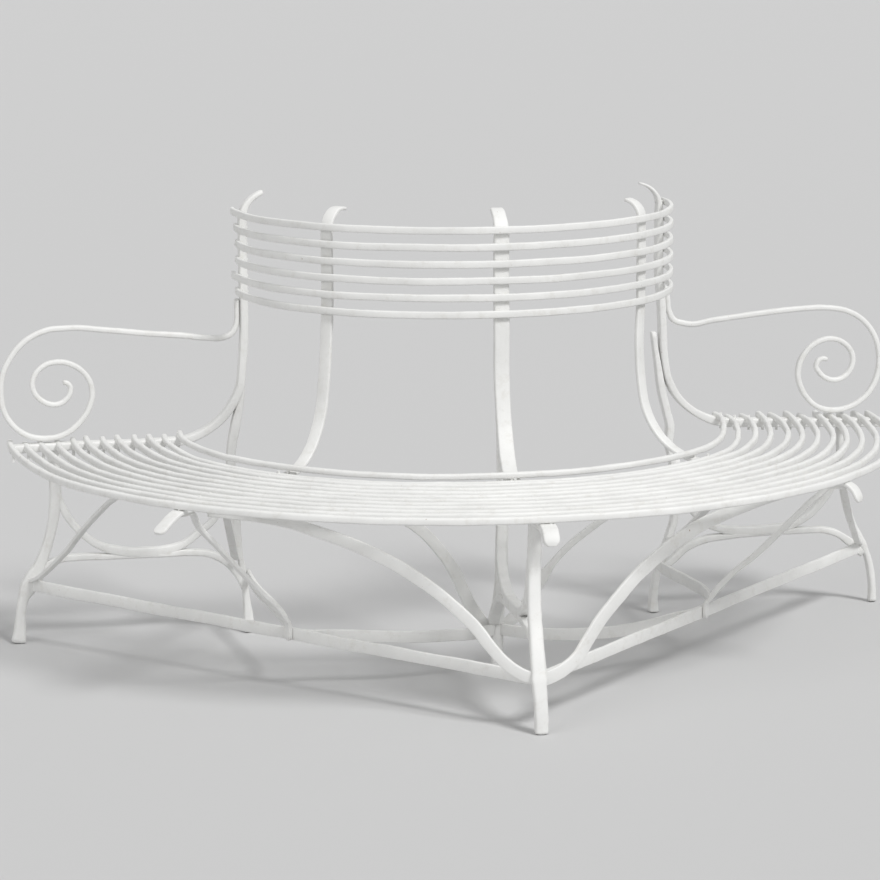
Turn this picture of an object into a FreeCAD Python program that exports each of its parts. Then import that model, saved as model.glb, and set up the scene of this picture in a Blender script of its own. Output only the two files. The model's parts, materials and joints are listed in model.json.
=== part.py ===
import FreeCAD, Part
import math
import os

# Half-round tree bench of forged strap iron, in millimetres.
# Everything is drawn about the upright axis of the tree that the bench goes round, which is the Z axis.
# The bench opens to the back, +Y; its front is -Y. A frame's angle is 0 at the front and +90 at +X.
# At the end the whole bench is moved so that the middle of its footprint is at the origin.

# Stock sizes
strap = 8.0
end_post_thick = 17.0
end_post_width = 32.0
mid_post_width = 28.0
post_tip_thick = 8.0
edge_strap_height = 25.0
arch_height = 26.0
brace_thick = 12.0
brace_width = 22.0
slender_width = 15.0
leg_thick = 19.0
leg_width = 25.0
leg_rounding = 5.0
rear_leg_thick = 15.0
rear_leg_width = 26.0
rear_arch_width = 24.0
arm_bar = 12.0
arm_width = 15.0
arm_rounding = 4.5
joint_gap = 0.2

# Seat: round slats on top of sloping bearers
slat_count = 12
slat_inner_radius = 611.0
slat_pitch = 32.5
slat_width = 12.0
slat_height = 15.5
slat_rounding = 4.5
slat_overhang_deg = 3.4
seat_front_height = 433.0
seat_slope_deg = 1.87
bearer_bend_radius = 645.0

# Back: rails on the outer face of the posts
back_radius = 472.0
rail_count = 6
rail_thick = 8.5
rail_height = 15.5
rail_rounding = 3.5
rail_lowest = 755.5
rail_pitch = 34.75
rail_overhang_deg = 4.5

# Frames
end_deg = 90.0
mid_deg = 45.0
bearer_past_slats = 4.0
tab_reach = {"left": 46.0, "centre": 40.0, "right": 24.0}
tab_drop = {"left": 28.0, "centre": 30.0, "right": 22.0}
centre_leg_top_shift = -10.0
centre_leg_foot_shift = -18.0
centre_brace_shift = -9.5

# Low ties between the legs
tie_end_height = 128.0
tie_centre_height = 106.0
tie_centre_shift = -22.0
rear_tie_height = 92.0
rear_tie_lean_deg = 1.4
strut_share = {"left": 0.543, "right": 0.53}
weld_depth = 0.4
arch_seat_radius = 880.0
end_arch_seat_radius = 890.0
rear_arch_seat_radius = 790.0
rear_end_arch_seat_radius = 860.0

# Rivets
rivet_diameter = 6.0
rivet_clearance = 0.05
rivet_head_diameter = 11.0
rivet_head_height = 3.0

frames = {"left_end": -end_deg, "left": -mid_deg, "centre": 0.0, "right": mid_deg, "right_end": end_deg}
leg_frames = ("left_end", "centre", "right_end")
up = FreeCAD.Vector(0, 0, 1)
sideways = FreeCAD.Vector(0, 1, 0)
rail_inner_radius = back_radius + joint_gap
slat_outer_radius = slat_inner_radius + slat_pitch * (slat_count - 1)
seat_slope = math.tan(math.radians(seat_slope_deg))
bearer_front_z = seat_front_height - slat_height - joint_gap


def bearer_top(radius):
    """Height of the upper face of every bearer on its straight run."""
    return bearer_front_z + (slat_outer_radius - slat_width / 2 - radius) * seat_slope


def post_thick(name):
    """The posts that stand on legs are heavier than the two between them."""
    return end_post_thick if name in leg_frames else strap


# Bent bars are drawn in the plane of local X and Z as lines and tangent arcs through a few points.
# A point is (x, z) or (x, z, heading), where heading is the way the bar runs there, in degrees.
def headings(points):
    """Unit direction of the bar at each point."""
    spots = [FreeCAD.Vector(p[0], 0, p[1]) for p in points]
    steps = [b - a for a, b in zip(spots, spots[1:])]
    ways = []
    for i, point in enumerate(points):
        if len(point) > 2:
            turn = math.radians(point[2])
            ways.append(FreeCAD.Vector(math.cos(turn), 0, math.sin(turn)))
        elif 0 < i < len(points) - 1:
            before, after = steps[i - 1], steps[i]
            blend = before * (after.Length / before.Length) + after * (before.Length / after.Length)
            ways.append(blend.normalize())
        else:
            ways.append(None)
    if ways[0] is None:
        ways[0] = mirrored(ways[1], steps[0])
    if ways[-1] is None:
        ways[-1] = mirrored(ways[-2], steps[-1])
    return spots, ways


def mirrored(way, step):
    """The direction at the far end of an arc that has this direction at its near end."""
    if way is None:
        return FreeCAD.Vector(step).normalize()
    chord = FreeCAD.Vector(step).normalize()
    return chord * (2 * way.dot(chord)) - way


def left_of(way):
    return FreeCAD.Vector(-way.z, 0, way.x)


def middle_joint(a, way_a, b, way_b):
    """Where two tangent arcs meet between two points, and the direction there."""
    step = b - a
    both = way_a + way_b
    spare = 2 * (1 - way_a.dot(way_b))
    along = step.dot(both)
    if spare < 1e-9:
        reach = step.dot(step) / (2 * along)
    else:
        reach = (-along + math.sqrt(along * along + spare * step.dot(step))) / spare
    near = a + way_a * reach
    far = b - way_b * reach
    return (near + far) * 0.5, (far - near).normalize()


def side_edge(near, far, hand):
    """One arc or line of the bar's side, half its thickness from the middle line, on the hand +1 or -1."""
    a, way_a, thick_a = near
    b, way_b, thick_b = far
    start = a + left_of(way_a) * (hand * thick_a / 2)
    end = b + left_of(way_b) * (hand * thick_b / 2)
    step = b - a
    offset = step.dot(left_of(way_a))
    if abs(offset) < 1e-4 * step.Length:
        return Part.LineSegment(start, end).toShape()
    radius = step.dot(step) / (2 * offset)
    centre = a + left_of(way_a) * radius
    outward = (a - centre).normalize() + (b - centre).normalize()
    shift = hand * (thick_a + thick_b) / 4
    through = centre + outward.normalize() * (abs(radius) - shift * math.copysign(1, radius))
    return Part.Arc(start, through, end).toShape()


def bent_bar(points, thickness, width, shift=0.0, rounding=0.0, first_thick=()):
    """A flat or square bar bent in the XZ plane; width is along Y, and shift moves it along Y.
    first_thick gives the first few points a thickness of their own, for a drawn-out tip."""
    spots, ways = headings(points)
    thick = list(first_thick) + [thickness] * (len(points) - len(first_thick))
    stations = [(spots[0], ways[0], thick[0])]
    for i in range(len(spots) - 1):
        joint, way = middle_joint(spots[i], ways[i], spots[i + 1], ways[i + 1])
        stations.append((joint, way, (thick[i] + thick[i + 1]) / 2))
        stations.append((spots[i + 1], ways[i + 1], thick[i + 1]))
    edges = []
    for near, far in zip(stations, stations[1:]):
        edges.append(side_edge(near, far, 1))
        edges.append(side_edge(near, far, -1))
    for spot, way, thick_here in (stations[0], stations[-1]):
        across = left_of(way) * (thick_here / 2)
        edges.append(Part.LineSegment(spot - across, spot + across).toShape())
    face = Part.Face(Part.Wire(Part.__sortEdges__(edges)))
    face.translate(sideways * (shift - width / 2))
    bar = face.extrude(sideways * width)
    if rounding:
        long_edges = [edge for edge in bar.Edges if runs_along(edge, shift, width, (spots[0], spots[-1]))]
        bar = bar.makeFillet(rounding, long_edges)
    return bar


def runs_along(edge, shift, width, tips):
    """True for the edges along the bar, on either of its two flat sides, but not for its end edges."""
    box = edge.BoundBox
    flat = box.YLength < 1e-6 and abs(abs(box.YMin - shift) - width / 2) < 1e-6
    middle = edge.CenterOfMass
    at_tip = any(math.hypot(middle.x - tip.x, middle.z - tip.z) < 1e-3 for tip in tips)
    return flat and not at_tip


def at_frame(shape, degrees):
    """Turns a shape from the local XZ plane to a frame's upright plane."""
    placed = shape.copy()
    placed.rotate(FreeCAD.Vector(0, 0, 0), up, degrees - 90)
    return placed


def spot_at(radius, degrees, shift=0.0):
    """Plan position at a radius in a frame, moved sideways by shift."""
    turn = math.radians(degrees)
    return FreeCAD.Vector(radius * math.sin(turn) + shift * math.cos(turn),
                          -radius * math.cos(turn) + shift * math.sin(turn), 0)


def between(shape, start, end):
    """Turns a shape from the local XZ plane to the upright plane through two plan positions."""
    run = end - start
    placed = shape.copy()
    placed.rotate(FreeCAD.Vector(0, 0, 0), up, math.degrees(math.atan2(run.y, run.x)))
    placed.translate(FreeCAD.Vector(start.x, start.y, 0))
    return placed


def welded(shape, *neighbours):
    """Ends the shape on the faces of its neighbours and keeps its main piece."""
    trimmed = shape.cut(list(neighbours))
    return max(trimmed.Solids, key=lambda solid: solid.Volume)


def top_at(shape, radius, half_width):
    """Highest point of a shape in its local frame under a slat's width."""
    strip = Part.makeBox(2 * half_width, 1, 2 * seat_front_height,
                         FreeCAD.Vector(radius - half_width, -0.5, 0))
    return shape.common(strip).BoundBox.ZMax


def underside(radius, thick):
    """Height of the lower face of a bearer of this thickness on its straight run."""
    return bearer_top(radius) - thick


def post_points(name):
    """Curled tip, upright back, the long bend to the seat bearer, and a drooping tab past the slats."""
    back_bottom = 655.0
    half = post_thick(name) / 2
    middle = back_radius - half
    bend_z = bearer_top(bearer_bend_radius) - half
    end_radius = slat_outer_radius + slat_width / 2 + bearer_past_slats
    end_z = bearer_top(end_radius) - half
    points = [(middle - 52, 970), (middle - 26, 961), (middle - 8, 945),
              (middle, 922, -90), (middle, back_bottom, -90),
              (back_radius + 6, 560), (back_radius + 22, 510), (back_radius + 49, 476),
              (back_radius + 86, 451), (slat_inner_radius - 10, bend_z + 9),
              (bearer_bend_radius, bend_z, -seat_slope_deg), (end_radius, end_z, -seat_slope_deg)]
    if name in tab_reach:
        reach = tab_reach[name]
        drop = tab_drop[name]
        points += [(end_radius + 0.33 * reach, end_z - 0.08 * drop),
                   (end_radius + 0.68 * reach, end_z - 0.38 * drop),
                   (end_radius + reach, end_z - drop)]
    return points


def make_post(name):
    thick = post_thick(name)
    width = mid_post_width if name in ("left", "right") else end_post_width
    tip = [post_tip_thick + (thick - post_tip_thick) * share for share in (0, 0.3, 0.65)]
    return bent_bar(post_points(name), thick, width, first_thick=tip)


local_posts = {name: make_post(name) for name in frames}


def slat_radius(index):
    return slat_inner_radius + slat_pitch * index


def slat_bottom(index):
    """A slat rests on the highest of the bearers."""
    tops = [top_at(local_posts[name], slat_radius(index), slat_width / 2) for name in ("left_end", "left")]
    return max(tops) + joint_gap


def ring(profile, overhang):
    """Revolves an upright profile through the half circle and its overhang at both ends."""
    start = profile.copy()
    start.rotate(FreeCAD.Vector(0, 0, 0), up, -180 - overhang)
    return start.revolve(FreeCAD.Vector(0, 0, 0), up, 180 + 2 * overhang)


def round_topped(inner, outer, bottom, top, rounding):
    """Profile of a slat: a bar with both upper edges rounded."""
    bow = rounding * (1 - math.sqrt(0.5))
    a = FreeCAD.Vector(inner, 0, bottom)
    b = FreeCAD.Vector(outer, 0, bottom)
    c = FreeCAD.Vector(outer, 0, top - rounding)
    c_mid = FreeCAD.Vector(outer - bow, 0, top - bow)
    d = FreeCAD.Vector(outer - rounding, 0, top)
    e = FreeCAD.Vector(inner + rounding, 0, top)
    e_mid = FreeCAD.Vector(inner + bow, 0, top - bow)
    f = FreeCAD.Vector(inner, 0, top - rounding)
    edges = [Part.LineSegment(a, b), Part.LineSegment(b, c), Part.Arc(c, c_mid, d),
             Part.LineSegment(d, e), Part.Arc(e, e_mid, f), Part.LineSegment(f, a)]
    return Part.Face(Part.Wire([edge.toShape() for edge in edges]))


def round_faced(inner, outer, bottom, top, rounding):
    """Profile of a rail: a bar with both outer edges rounded."""
    bow = rounding * (1 - math.sqrt(0.5))
    a = FreeCAD.Vector(inner, 0, bottom)
    b = FreeCAD.Vector(outer - rounding, 0, bottom)
    b_mid = FreeCAD.Vector(outer - bow, 0, bottom + bow)
    c = FreeCAD.Vector(outer, 0, bottom + rounding)
    d = FreeCAD.Vector(outer, 0, top - rounding)
    d_mid = FreeCAD.Vector(outer - bow, 0, top - bow)
    e = FreeCAD.Vector(outer - rounding, 0, top)
    f = FreeCAD.Vector(inner, 0, top)
    edges = [Part.LineSegment(a, b), Part.Arc(b, b_mid, c), Part.LineSegment(c, d),
             Part.Arc(d, d_mid, e), Part.LineSegment(e, f), Part.LineSegment(f, a)]
    return Part.Face(Part.Wire([edge.toShape() for edge in edges]))


def make_slat(index):
    middle = slat_radius(index)
    bottom = slat_bottom(index)
    profile = round_topped(middle - slat_width / 2, middle + slat_width / 2,
                           bottom, bottom + slat_height, slat_rounding)
    return ring(profile, slat_overhang_deg)


def rail_height_at(index):
    return rail_lowest + rail_pitch * index


def make_rail(index):
    middle = rail_height_at(index)
    profile = round_faced(rail_inner_radius, rail_inner_radius + rail_thick,
                          middle - rail_height / 2, middle + rail_height / 2, rail_rounding)
    return ring(profile, rail_overhang_deg)


# Front leg: straight below the bearer, a long S, and an upright foot
leg_top_radius = 884.0
leg_foot_radius = 969.0
ground = Part.makeBox(2 * leg_foot_radius, 4 * leg_width, leg_width,
                      FreeCAD.Vector(0, -2 * leg_width, -leg_width))


def front_leg_points():
    """Runs a little into the bearer and the ground, where it is cut off square with them."""
    top = underside(leg_top_radius - leg_thick / 2, end_post_thick) + weld_depth
    return [(leg_top_radius, top, -90), (leg_top_radius, 340, -90), (leg_top_radius + 9, 268),
            (leg_top_radius + 28, 196), (leg_top_radius + 52, 149), (leg_top_radius + 70, 111),
            (leg_foot_radius - 4, 72), (leg_foot_radius, 34, -90), (leg_foot_radius, -2, -90)]


def make_front_leg(name):
    leg = bent_bar(front_leg_points(), leg_thick, leg_width, 0.0, leg_rounding)
    if name == "centre":
        lean = math.degrees(math.atan2(centre_leg_top_shift - centre_leg_foot_shift, seat_front_height))
        leg.rotate(FreeCAD.Vector(0, 0, 0), FreeCAD.Vector(1, 0, 0), -lean)
        leg.translate(sideways * centre_leg_foot_shift)
    return welded(leg, ground, local_posts[name])


# Rear leg: scarfed into the inner face of the post's bend, bowed out and in again on its way down
rear_leg_top_radius = 463.0
rear_foot_radius = 462.0


def rear_leg_points():
    return [(rear_leg_top_radius, 612), (rear_leg_top_radius + 4, 580), (rear_leg_top_radius + 17, 510),
            (rear_leg_top_radius + 35, 390), (rear_leg_top_radius + 44, 262), (rear_foot_radius + 37, 207),
            (rear_foot_radius + 22, 160), (rear_foot_radius + 8, 115), (rear_foot_radius + 1, 62),
            (rear_foot_radius, 30, -90), (rear_foot_radius, 0, -90)]


def make_rear_leg(name):
    return welded(bent_bar(rear_leg_points(), rear_leg_thick, rear_leg_width), local_posts[name])


# Two braces between the front and rear leg of a frame: a U that hangs and an arch that stands, back to back
brace_meeting_height = {"left_end": 190.0, "centre": 189.0, "right_end": 177.0}


def u_brace_points(meeting):
    low = meeting + brace_thick / 2 + joint_gap / 2
    return [(leg_top_radius - 1, 352), (leg_top_radius - 15, 305), (leg_top_radius - 34, 262),
            (leg_top_radius - 62, 226), (leg_top_radius - 108, low + 7), (735, low, 180), (660, low, 180),
            (607, low + 10), (566, low + 36), (540, low + 66), (519, low + 120), (503, low + 184)]


def arch_brace_points(meeting):
    high = meeting - brace_thick / 2 - joint_gap / 2
    return [(960, high - 86), (945, high - 61), (914, high - 24), (872, high - 4), (820, high, 180),
            (600, high, 180), (548, high - 8), (512, high - 33), (472, high - 76)]


def make_u_brace(name, shift, front_leg, rear_leg):
    bar = bent_bar(u_brace_points(brace_meeting_height[name]), brace_thick, brace_width, shift)
    return welded(bar, front_leg, rear_leg)


def make_arch_brace(name, shift, front_leg, rear_leg, u_brace):
    bar = bent_bar(arch_brace_points(brace_meeting_height[name]), brace_thick, brace_width, shift)
    return welded(bar, front_leg, rear_leg, u_brace)


# Front stretcher: a straight strap on edge from an end leg to the centre leg
def tie_ends(side):
    """Plan positions of the two leg middles that a front stretcher runs between."""
    return spot_at(943.0, side * end_deg), spot_at(955.0, 0, tie_centre_shift)


def tie_spot(side, share, outward):
    """Plan position at a share of the stretcher's run, moved out of its middle plane."""
    start, end = tie_ends(side)
    run = end - start
    face = FreeCAD.Vector(run.y, -run.x, 0).normalize() * (outward * -side)
    return start + run * share + face


def tie_height(share):
    return tie_end_height + (tie_centre_height - tie_end_height) * share


def make_front_stretcher(side, *legs):
    start, end = tie_ends(side)
    run = (end - start).Length
    bar = bent_bar([(0, tie_end_height), (run, tie_centre_height)], edge_strap_height, strap)
    return welded(between(bar, start, end), *legs)


# Front arches: straps on edge that rise from the stretcher's ends to the bearers at 45 degrees
def arch_points(run, foot_height, top_height):
    rise = top_height - foot_height
    return [(0, foot_height, 0), (45, foot_height + 0.012 * rise), (88, foot_height + 0.12 * rise),
            (130, foot_height + 0.28 * rise), (178, foot_height + 0.46 * rise),
            (240, foot_height + 0.61 * rise), (320, foot_height + 0.76 * rise),
            (412, foot_height + 0.88 * rise), (505, foot_height + 0.95 * rise), (run, top_height, 0)]


def make_front_arch(side, *neighbours):
    start = tie_ends(side)[1]
    end = spot_at(arch_seat_radius, side * mid_deg)
    top = underside(arch_seat_radius, strap) - arch_height / 2 + weld_depth
    bar = bent_bar(arch_points((end - start).Length, tie_centre_height + 8, top), arch_height, strap)
    return welded(between(bar, start, end), *neighbours)


# End arches: slender straps that spring from the end legs just above the stretchers
def make_end_arch(side, *neighbours):
    start = tie_ends(side)[0]
    end = spot_at(end_arch_seat_radius, side * mid_deg)
    run = (end - start).Length
    top = underside(end_arch_seat_radius, strap) - strap / 2 + weld_depth
    points = [(0, tie_end_height + 12), (40, 147), (85, 165), (149, 212), (204, 262), (279, 319), (352, 360),
              (450, top - 17), (560, top - 5), (run - 30, top, 0), (run + 10, top, 0)]
    return welded(between(bent_bar(points, strap, slender_width), start, end), *neighbours)


# Struts: from the outer face of each front stretcher up to the bearer's front end
def make_strut(side, hand, *neighbours):
    share = strut_share[hand]
    foot = tie_spot(side, share, strap - weld_depth)
    head_radius = slat_outer_radius - slat_pitch
    head = spot_at(head_radius, side * mid_deg)
    run = (head - foot).Length
    foot_z = tie_height(share)
    head_z = underside(head_radius, strap) - strap / 2 + weld_depth
    points = [(0, foot_z - edge_strap_height / 2, 90), (0, foot_z + edge_strap_height / 2, 90),
              (16, 160), (65, 213), (108, 252), (152, 295), (198, 341), (234, 376),
              (run + 4, head_z, -seat_slope_deg), (run + 30, head_z - 30 * seat_slope, -seat_slope_deg)]
    return welded(between(bent_bar(points, strap, slender_width), foot, head), *neighbours)


# Rear stretchers: straps on edge, bowed in plan from the rear centre leg to the inner face of the front
# stretcher opposite the strut's foot, and back to the rear end leg
rear_tie_bow = {
    "left": [(60, -508), (120, -524), (185, -534), (262, -534), (340, -527)],
    "right": [(50, -517), (105, -555), (165, -577), (235, -582), (302, -562), (360, -532)]}
rear_tie_return = {
    "left": [(450, -480), (441, -425), (443, -327), (452, -232), (461, -143), (464, -60)],
    "right": [(452, -475), (474, -415), (482, -340), (473, -262), (458, -170), (449, -90)]}


def make_rear_stretcher(side, hand, *neighbours):
    share = strut_share[hand]
    corner = tie_spot(side, share, weld_depth - strap)
    start, end = tie_ends(side)
    way = (start - end).normalize() * (slender_width / 2)
    heading = math.degrees(math.atan2(way.y, side * way.x))
    corner_x = side * corner.x
    points = [(6, -rear_foot_radius - rear_leg_thick / 2)] + rear_tie_bow[hand]
    points += [(corner_x - side * way.x, corner.y - way.y, heading),
               (corner_x + side * way.x, corner.y + way.y, heading)]
    points += rear_tie_return[hand] + [(rear_foot_radius + 1, 0)]
    bar = bent_bar(points, strap, edge_strap_height)
    bar.rotate(FreeCAD.Vector(0, 0, 0), FreeCAD.Vector(1, 0, 0), -90)
    rise = tie_height(share) - rear_tie_height
    bar.translate(FreeCAD.Vector(0, rear_foot_radius, 0))
    bar.rotate(FreeCAD.Vector(0, 0, 0), sideways, -math.degrees(math.atan2(rise, corner_x)))
    bar.rotate(FreeCAD.Vector(0, 0, 0), FreeCAD.Vector(1, 0, 0), rear_tie_lean_deg)
    bar.translate(FreeCAD.Vector(0, -rear_foot_radius, rear_tie_height))
    if side < 0:
        bar = bar.mirror(FreeCAD.Vector(0, 0, 0), FreeCAD.Vector(1, 0, 0))
    return welded(bar, *neighbours)


# Rear arches: from the rear legs to the bearers at 45 degrees
def make_rear_arch(side, *neighbours):
    start = spot_at(rear_foot_radius + 2, 0)
    end = spot_at(rear_arch_seat_radius, side * mid_deg)
    run = (end - start).Length
    top = underside(rear_arch_seat_radius, strap) - arch_height / 2 + weld_depth
    points = [(8, 84), (38, 113), (63, 148), (79, 181), (94, 214), (114, 248), (140, 281), (172, 314),
              (250, 359), (370, top - 8), (run, top, 0)]
    return welded(between(bent_bar(points, arch_height, strap), start, end), *neighbours)


def make_rear_end_arch(side, *neighbours):
    start = spot_at(rear_foot_radius + rear_leg_width, side * end_deg)
    end = spot_at(rear_end_arch_seat_radius, side * mid_deg)
    run = (end - start).Length
    top = underside(rear_end_arch_seat_radius, strap) - strap / 2 + weld_depth
    points = [(0, 160), (45, 174), (95, 198), (140, 230), (178, 265), (212, 300), (262, 342),
              (330, top - 32), (430, top - 9), (run - 60, top, 0), (run, top, 0)]
    return welded(between(bent_bar(points, strap, rear_arch_width), start, end), *neighbours)


# Armrest: starts up the post, runs out level and rolls into a scroll that rests on the slats
def arm_points():
    start = rail_inner_radius + arm_bar / 2
    rest_slat = slat_count - 3
    rest = slat_bottom(rest_slat) + slat_height + arm_bar / 2 + joint_gap
    return [(start, 740, -90), (start, 690, -90), (start + 6, 666), (start + 24, 654, 0), (540, 655),
            (611, 661), (711, 675), (800, 686), (852, 689), (895, 683), (936, 661), (968, 627), (986, 586),
            (989, 546), (981, 507), (958, 468), (slat_radius(rest_slat) + 22, rest + 5),
            (slat_radius(rest_slat), rest, 180), (866, rest + 8), (830, 474), (804, 509), (795, 546),
            (805, 581), (832, 606), (864, 614), (896, 607), (919, 585), (920, 553), (902, 529), (877, 521),
            (852, 532), (842, 552), (848, 568)]


def make_arm():
    return bent_bar(arm_points(), arm_bar, arm_width, 0.0, arm_rounding)


# Rivets: plain shanks in drilled holes, flush on the slats and rails, with low heads behind the posts
def shank(diameter, start, along, length):
    return Part.makeCylinder(diameter / 2, length, start, along)


def slat_rivet(name, index, diameter):
    radius = slat_radius(index)
    bottom = bearer_low_at(name, radius)
    return shank(diameter, FreeCAD.Vector(radius, 0, bottom), up, slat_bottom(index) + slat_height - bottom)


def bearer_low_at(name, radius):
    """Where a rivet's lower end is flush with the bearer's underside."""
    strip = Part.makeBox(rivet_diameter, rivet_diameter, 2 * seat_front_height,
                         FreeCAD.Vector(radius - rivet_diameter / 2, -rivet_diameter / 2, 0))
    return local_posts[name].common(strip).BoundBox.ZMin


def rail_rivet(name, index, diameter):
    inner = back_radius - post_thick(name)
    return shank(diameter, FreeCAD.Vector(inner, 0, rail_height_at(index)), FreeCAD.Vector(1, 0, 0),
                 rail_inner_radius + rail_thick - inner)


def head(outer_x, z):
    """A low domed head on the side of a post that faces the tree."""
    dome_radius = (rivet_head_height ** 2 + (rivet_head_diameter / 2) ** 2) / (2 * rivet_head_height)
    ball = Part.makeSphere(dome_radius, FreeCAD.Vector(outer_x - rivet_head_height + dome_radius, 0, z))
    keep = Part.makeBox(rivet_head_height, rivet_head_diameter, rivet_head_diameter,
                        FreeCAD.Vector(outer_x - rivet_head_height, -rivet_head_diameter / 2,
                                       z - rivet_head_diameter / 2))
    return ball.common(keep)


def build():
    """All sub-parts by name, still drawn about the tree's axis."""
    parts = {}
    hole = rivet_diameter + 2 * rivet_clearance
    slat_holes = {name: [slat_rivet(name, i, hole) for i in range(slat_count)] for name in frames}
    rail_holes = {name: [rail_rivet(name, i, hole) for i in range(rail_count)] for name in frames}

    for name in leg_frames:
        shift = centre_brace_shift if name == "centre" else 0.0
        front_leg = make_front_leg(name)
        rear_leg = make_rear_leg(name)
        u_brace = make_u_brace(name, shift, front_leg, rear_leg)
        arch_brace = make_arch_brace(name, shift, front_leg, rear_leg, u_brace)
        parts["front_leg_" + name] = at_frame(front_leg, frames[name])
        parts["rear_leg_" + name] = at_frame(rear_leg, frames[name])
        parts["u_brace_" + name] = at_frame(u_brace, frames[name])
        parts["arch_brace_" + name] = at_frame(arch_brace, frames[name])

    for name, degrees in frames.items():
        drilled = local_posts[name].cut(slat_holes[name] + rail_holes[name])
        parts["post_" + name] = at_frame(drilled, degrees)

    for i in range(slat_count):
        holes = [at_frame(slat_holes[name][i], degrees) for name, degrees in frames.items()]
        parts["seat_slat_%02d" % (i + 1)] = make_slat(i).cut(holes)
    for i in range(rail_count):
        holes = [at_frame(rail_holes[name][i], degrees) for name, degrees in frames.items()]
        parts["back_rail_%d" % (i + 1)] = make_rail(i).cut(holes)

    arm = make_arm()
    parts["arm_left"] = at_frame(arm, -end_deg)
    parts["arm_right"] = at_frame(arm, end_deg)

    for side, hand in ((-1, "left"), (1, "right")):
        ends = [parts["front_leg_%s_end" % hand], parts["arch_brace_%s_end" % hand],
                parts["front_leg_centre"], parts["arch_brace_centre"]]
        stretcher = make_front_stretcher(side, *ends)
        parts["front_stretcher_" + hand] = stretcher
        post = parts["post_" + hand]
        front_arch = make_front_arch(side, stretcher, post, *ends)
        parts["front_arch_" + hand] = front_arch
        end_arch = make_end_arch(side, stretcher, front_arch, post, *ends)
        parts["end_arch_" + hand] = end_arch
        parts["strut_" + hand] = make_strut(side, hand, post, stretcher, front_arch, end_arch)
        rear_stretcher = make_rear_stretcher(
            side, hand, stretcher, parts["rear_leg_centre"], parts["arch_brace_centre"],
            parts["rear_leg_%s_end" % hand], parts["arch_brace_%s_end" % hand])
        parts["rear_stretcher_" + hand] = rear_stretcher
        parts["rear_arch_" + hand] = make_rear_arch(
            side, parts["rear_leg_centre"], rear_stretcher, parts["arch_brace_centre"],
            parts["u_brace_centre"], post)
        parts["rear_end_arch_" + hand] = make_rear_end_arch(
            side, parts["rear_leg_%s_end" % hand], rear_stretcher, parts["arch_brace_%s_end" % hand],
            parts["u_brace_%s_end" % hand], post, parts["rear_arch_" + hand], front_arch, end_arch)

    slat_rivets = []
    rail_rivets = []
    for name, degrees in frames.items():
        for i in range(slat_count):
            slat_rivets.append(at_frame(slat_rivet(name, i, rivet_diameter), degrees))
        drilled_post = local_posts[name].cut(rail_holes[name])
        for i in range(rail_count):
            dome = head(back_radius - post_thick(name), rail_height_at(i))
            rivet = rail_rivet(name, i, rivet_diameter).fuse(dome)
            rail_rivets.append(at_frame(welded(rivet, drilled_post), degrees))
    parts["slat_rivets"] = Part.makeCompound(slat_rivets)
    parts["rail_rivets"] = Part.makeCompound(rail_rivets)
    return parts


def main():
    os.makedirs("parts", exist_ok=True)
    parts = build()
    box = FreeCAD.BoundBox()
    for shape in parts.values():
        box.add(shape.optimalBoundingBox(False, False))
    to_origin = FreeCAD.Vector(-box.Center.x, -box.Center.y, -box.ZMin)
    for name, shape in parts.items():
        placed = shape.copy()
        placed.translate(to_origin)
        placed.exportStep("parts/%s.step" % name)


main()
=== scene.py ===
import json
import math

import bmesh
import bpy
from mathutils import Matrix, Vector, noise

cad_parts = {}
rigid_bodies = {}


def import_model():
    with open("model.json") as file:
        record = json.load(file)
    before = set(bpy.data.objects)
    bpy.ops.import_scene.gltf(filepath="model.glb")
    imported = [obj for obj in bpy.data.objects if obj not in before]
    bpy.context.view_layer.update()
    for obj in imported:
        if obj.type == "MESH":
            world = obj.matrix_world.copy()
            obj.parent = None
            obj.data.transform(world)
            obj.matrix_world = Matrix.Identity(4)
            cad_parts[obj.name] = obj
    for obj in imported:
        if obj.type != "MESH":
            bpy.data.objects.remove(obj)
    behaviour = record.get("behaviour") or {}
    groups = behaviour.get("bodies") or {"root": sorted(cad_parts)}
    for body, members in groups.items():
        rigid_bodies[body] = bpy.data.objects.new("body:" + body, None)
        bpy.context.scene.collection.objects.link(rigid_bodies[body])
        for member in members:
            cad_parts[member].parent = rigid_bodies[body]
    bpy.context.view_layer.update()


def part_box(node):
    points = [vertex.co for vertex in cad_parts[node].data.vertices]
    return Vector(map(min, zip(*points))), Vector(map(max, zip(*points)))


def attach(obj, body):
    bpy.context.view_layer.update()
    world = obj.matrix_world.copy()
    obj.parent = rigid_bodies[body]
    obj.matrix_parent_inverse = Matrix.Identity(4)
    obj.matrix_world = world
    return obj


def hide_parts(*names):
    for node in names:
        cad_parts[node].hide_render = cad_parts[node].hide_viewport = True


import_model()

# Sizes are in millimetres about the upright axis of the tree, as in the model, and turned to metres last.
MM = 0.001
# How far bars sink into what they are welded to, and how far riveted ones stand off
SINK = 0.4
FIT_GAP = 0.2

# Bars, as thick and wide, or as one of the two
STRAP = 8.0
EDGE_HEIGHT = 25.0
ARCH_HEIGHT = 26.0
SLENDER = (8.0, 15.0)
BRACE = (15.0, 22.0)
MERGED = 21.0
END_POST = (17.0, 32.0)
MID_POST = (8.0, 28.0)
REAR_LEG = (15.0, 26.0)

# Seat
SLAT_COUNT = 12
SLAT_INNER = 611.0
SLAT_PITCH = 32.5
SLAT_WIDTH = 12.0
SLAT_HEIGHT = 15.5
SLAT_OUTER = SLAT_INNER + SLAT_PITCH * (SLAT_COUNT - 1)
SLOPE_DEG = 1.87
SEAT_Z = 433.0
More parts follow.
